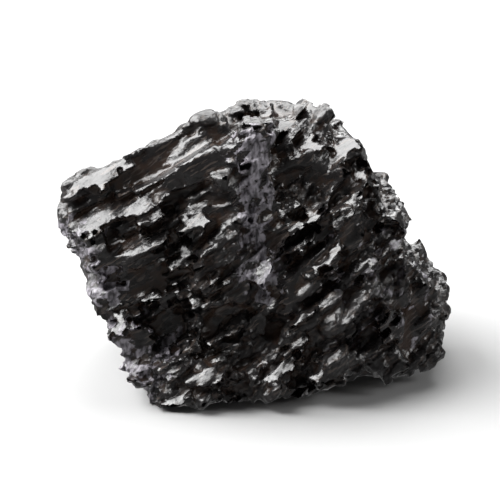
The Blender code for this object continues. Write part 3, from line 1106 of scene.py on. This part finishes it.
sheen = add_node(
    tree, "ShaderNodeTexNoise", {"Scale": 1 / SHEEN_PATCH, "Detail": 3.0}, {"Vector": place}
).outputs["Fac"]
worn = add_node(
    tree, "ShaderNodeMapRange",
    {"From Min": SHEEN_STARTS, "From Max": SHEEN_FULL, "To Min": SHINY_ROUGHNESS,
     "To Max": WORN_ROUGHNESS}, {"Value": sheen}
).outputs["Result"]
polished = add_node(
    tree, "ShaderNodeMapRange", {"To Max": FRESH_ROUGHNESS}, {"Value": fresh_mask, "To Min": worn}
).outputs["Result"]
dulled = add_node(
    tree, "ShaderNodeMath", {"operation": "MULTIPLY_ADD", 1: BLOOM_ROUGHNESS},
    {0: dusty, 2: polished}
).outputs["Value"]
tree.links.new(dulled, shader.inputs["Roughness"])
print("roughness from", FRESH_ROUGHNESS, "up")

# %% Grain
# Real pits and laminae are about a tenth of a millimetre across. They are drawn about four
# times as coarse, or they would blur away at this distance.
PIT = 0.35 * MM
RIPPLE = 1.3 * MM
LAMINA = 0.45 * MM
SHARE_OF_RIPPLES, SHARE_OF_LAMINAE = 2.0, 2.0

pitted = add_node(
    tree, "ShaderNodeTexNoise", {"Scale": 1 / PIT, "Detail": 2.0}, {"Vector": place}
).outputs["Fac"]
rippled = add_node(
    tree, "ShaderNodeTexNoise", {"Scale": 1 / RIPPLE, "Detail": 2.0}, {"Vector": place}
).outputs["Fac"]
laminated = add_node(
    tree, "ShaderNodeTexNoise", {"Scale": 1 / LAMINA, "Detail": 2.0}, {"Vector": along_bed}
).outputs["Fac"]
rough_grain = add_node(
    tree, "ShaderNodeMath", {"operation": "MULTIPLY_ADD", 1: SHARE_OF_RIPPLES},
    {0: rippled, 2: pitted}
).outputs["Value"]
grain = add_node(
    tree, "ShaderNodeMath", {"operation": "MULTIPLY_ADD", 1: SHARE_OF_LAMINAE},
    {0: laminated, 2: rough_grain}
).outputs["Value"]
print("a lamina is drawn, mm:", [round(LAMINA / MM * part, 1) for part in LONG_LAMINAE])

# %% Flakes
FLAKE = 0.55 * MM
GRAIN_DEPTH = 0.08 * MM
SOUND_TILT, CRUMBLY_TILT = 3.0, 8.0
FULL_GRAIN, FRESH_GRAIN = 0.7, 0.3
MIDDLE_COLOUR = (0.5, 0.5, 0.5)

flakes = add_node(tree, "ShaderNodeTexVoronoi", {"Scale": 1 / FLAKE}, {"Vector": short_bed})
from_middle = add_node(
    tree, "ShaderNodeVectorMath", {"operation": "SUBTRACT"},
    {0: short_bed, 1: flakes.outputs["Position"]}
).outputs["Vector"]
flake_tilt = add_node(
    tree, "ShaderNodeVectorMath", {"operation": "SUBTRACT", 1: MIDDLE_COLOUR},
    {0: flakes.outputs["Color"]}
).outputs["Vector"]
flake_rise = add_node(
    tree, "ShaderNodeVectorMath", {"operation": "DOT_PRODUCT"}, {0: from_middle, 1: flake_tilt}
).outputs["Value"]
flake_weight = add_node(
    tree, "ShaderNodeMapRange", {"To Min": SOUND_TILT / FLAKE, "To Max": CRUMBLY_TILT / FLAKE},
    {"Value": crumble_mask}
).outputs["Result"]
flaked = add_node(
    tree, "ShaderNodeMath", {"operation": "MULTIPLY_ADD"},
    {0: flake_rise, 1: flake_weight, 2: grain}
).outputs["Value"]
grain_strength = add_node(
    tree, "ShaderNodeMapRange", {"To Min": FULL_GRAIN, "To Max": FRESH_GRAIN}, {"Value": fresh_mask}
).outputs["Result"]
bump = add_node(
    tree, "ShaderNodeBump", {"Distance": GRAIN_DEPTH},
    {"Height": flaked, "Strength": grain_strength}
).outputs["Normal"]
tree.links.new(bump, shader.inputs["Normal"])
lump.data.materials.clear()
lump.data.materials.append(resin)
print("nodes in the resin:", len(tree.nodes))

# %% [markdown]
# ## Floor
#
# A plain pale sheet under the lump catches its shadow. The resin doesn't mirror it: a white
# floor would turn every downward facet grey, where a real heap of lumps mirrors more black
# resin.

# %% Floor
FLOOR_SIZE = 6.0
PAPER_GREY = linear("#a6a6a6")
PAPER_ROUGHNESS = 0.9
PAPER_SHINE = 0.1

ground = bmesh.new()
bmesh.ops.create_grid(ground, x_segments=1, y_segments=1, size=FLOOR_SIZE / 2)
floor = bpy.data.objects.new("floor", bpy.data.meshes.new("floor"))
ground.to_mesh(floor.data)
ground.free()
bpy.context.scene.collection.objects.link(floor)
# Uncoated background paper, rolled smooth but not glazed: the eye gets an even pale tone with
# no shine, and a soft shadow.
paper = bpy.data.materials.new("Matt white paper")
paper.use_nodes = True
paper_shader = paper.node_tree.nodes["Principled BSDF"]
paper_shader.inputs["Base Color"].default_value = PAPER_GREY
paper_shader.inputs["Roughness"].default_value = PAPER_ROUGHNESS
paper_shader.inputs["Specular IOR Level"].default_value = PAPER_SHINE
floor.data.materials.append(paper)
floor.visible_glossy = False
print("floor, m:", FLOOR_SIZE)

# %% [markdown]
# ## Light
#
# A dim studio keeps the black facets black. Large softboxes up and to the left, overhead and
# behind turn the facets that face them silver, as daylight does on wet pitch. Smaller ones at
# the right and nearer the front pick out the crumbs and the ledges low on the face.

# %% Softboxes
def softbox(name, spot, size, power):
    """A rectangular lamp at `spot` in metres that faces the lump."""
    lamp = bpy.data.objects.new(name, bpy.data.lights.new(name, "AREA"))
    bpy.context.scene.collection.objects.link(lamp)
    lamp.data.shape = "RECTANGLE"
    lamp.data.size, lamp.data.size_y = size
    lamp.data.energy = power
    lamp.location = spot
    lamp.rotation_euler = (LOOK_AT - Vector(spot)).to_track_quat("-Z", "Y").to_euler()
    lamp.visible_camera = False
    return lamp


SOFTBOXES = (
    # name, place and size in metres, power in watts
    ("softbox_key", (-0.66, 0.22, 0.62), (0.75, 0.75), 24.0),
    ("softbox_top", (0.05, 0.50, 0.80), (0.6, 0.6), 10.0),
    ("softbox_rear", (-0.20, 0.85, 0.30), (1.0, 0.3), 4.4),
    ("softbox_right", (0.8, -0.10, 0.45), (0.35, 0.5), 3.3),
    ("softbox_front", (-0.39, -0.145, 0.60), (0.24, 0.42), 3.2),
)
for name, spot, size, power in SOFTBOXES:
    softbox(name, spot, size, power)
print("softboxes:", len(SOFTBOXES))

# %% [markdown]
# ### The room
#
# The room around the lump is dim, so that the black stays black. Light comes up from the
# ground too, from a ring of it a little way off: the lump's own shadow keeps the near part
# dark. The camera alone sees the room as a pale backdrop.

# %% The room
DIM_STUDIO = 0.13
GROUND_GLOW = 0.40
PALE_BACKDROP = 1.0
# Heights of the ring of light, where 0 is the horizon and -1 straight down: it fades in from
# the horizon, and out again towards the lump's shadow.
HORIZON, RING_TOP, RING_FOOT, SHADOW = 0.0, -0.5, -0.6, -0.95

world = bpy.data.worlds.new("dim studio")
bpy.context.scene.world = world
world.use_nodes = True
sky = world.node_tree
seen = add_node(sky, "ShaderNodeLightPath").outputs["Is Camera Ray"]
way = add_node(sky, "ShaderNodeTexCoord").outputs["Generated"]
height = add_node(sky, "ShaderNodeSeparateXYZ", links={"Vector": way}).outputs["Z"]
below_horizon = add_node(
    sky, "ShaderNodeMapRange",
    {"From Min": RING_TOP, "From Max": HORIZON, "To Min": 1.0, "To Max": 0.0}, {"Value": height}
).outputs["Result"]
past_shadow = add_node(
    sky, "ShaderNodeMapRange", {"From Min": SHADOW, "From Max": RING_FOOT}, {"Value": height}
).outputs["Result"]
glow = add_node(
    sky, "ShaderNodeMath", {"operation": "MULTIPLY"}, {0: below_horizon, 1: past_shadow}
).outputs["Value"]
dim = add_node(
    sky, "ShaderNodeMapRange", {"To Min": DIM_STUDIO, "To Max": GROUND_GLOW}, {"Value": glow}
).outputs["Result"]
level = add_node(
    sky, "ShaderNodeMapRange", {"To Max": PALE_BACKDROP}, {"Value": seen, "To Min": dim}
).outputs["Result"]
sky.links.new(level, sky.nodes["Background"].inputs["Strength"])
sky.nodes["Background"].inputs["Color"].default_value = (1, 1, 1, 1)
bpy.context.scene.view_settings.view_transform = "Standard"
print("nodes in the room:", len(sky.nodes))
